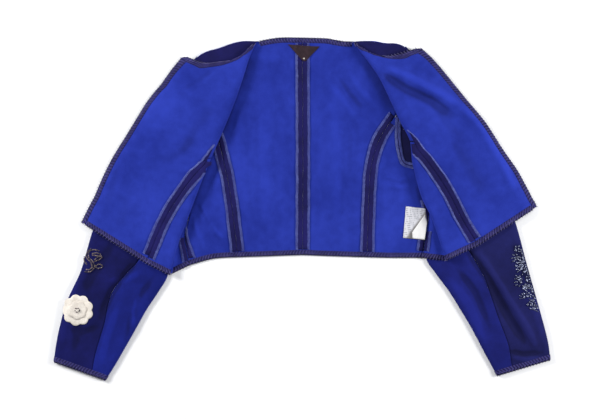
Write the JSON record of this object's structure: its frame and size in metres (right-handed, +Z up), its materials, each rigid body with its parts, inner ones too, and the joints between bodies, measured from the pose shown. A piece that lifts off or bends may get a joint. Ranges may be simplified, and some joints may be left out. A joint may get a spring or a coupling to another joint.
{
  "type": "wool jacket laid open",
  "caption": "Cropped collarless wool jacket with princess seams and two-piece sleeves, lying on its back, unlined inside up, fronts turned out over the sleeves.",
  "frame": {"origin": "centre of the laid jacket's box, on the surface that it lies on", "axes": "+X across the jacket from sleeve to sleeve, +Y from hem to neck, +Z up out of the surface"},
  "size_m": [0.894, 0.6163, 0.0192],
  "materials": {
    "wool": "fulled wool, royal blue",
    "sleeve_navy": "fulled wool, navy violet outer face",
    "sleeve_blue": "fulled wool, deep blue outer face",
    "allowance": "pressed-open seam allowance with pale overlock thread",
    "binding": "violet-grey whipped binding",
    "neck_label": "dark brown woven label, bare",
    "care_label": "white satin slip",
    "felt": "cream felt with small dark beads"
  },
  "bodies": {
    "root": {"allowance_armhole_right": "allowance", "allowance_back_left": "allowance", "allowance_back_right": "allowance", "allowance_centre_left": "allowance", "allowance_centre_right": "allowance", "allowance_front_left": "allowance", "allowance_front_right": "allowance", "allowance_side_back_left": "allowance", "allowance_side_back_right": "allowance", "allowance_side_front_left": "allowance", "allowance_side_front_right": "allowance", "allowance_side_inner_left": "allowance", "allowance_side_inner_right": "allowance", "allowance_side_outer_left": "allowance", "allowance_side_outer_right": "allowance", "back_left": "wool", "back_right": "wool", "binding_cuff_left": "binding", "binding_cuff_right": "binding", "binding_edge_left": "binding", "binding_edge_right": "binding", "binding_hem_back": "binding", "binding_hem_front_left": "binding", "binding_hem_front_right": "binding", "binding_hem_low_left": "binding", "binding_hem_low_right": "binding", "binding_hem_side_left": "binding", "binding_hem_side_right": "binding", "binding_neck": "binding", "binding_neck_left": "binding", "binding_neck_right": "binding", "care_label": "care_label", "care_label_page": "care_label", "felt_rosette": "felt", "front_left": "wool", "front_right": "wool", "neck_label": "neck_label", "side_back_left": "wool", "side_back_right": "wool", "side_front_left": "wool", "side_front_right": "wool", "under_sleeve_left": "sleeve_blue", "under_sleeve_right": "sleeve_blue", "upper_sleeve_left": "sleeve_navy", "upper_sleeve_right": "sleeve_navy"}
  },
  "joints": []
}
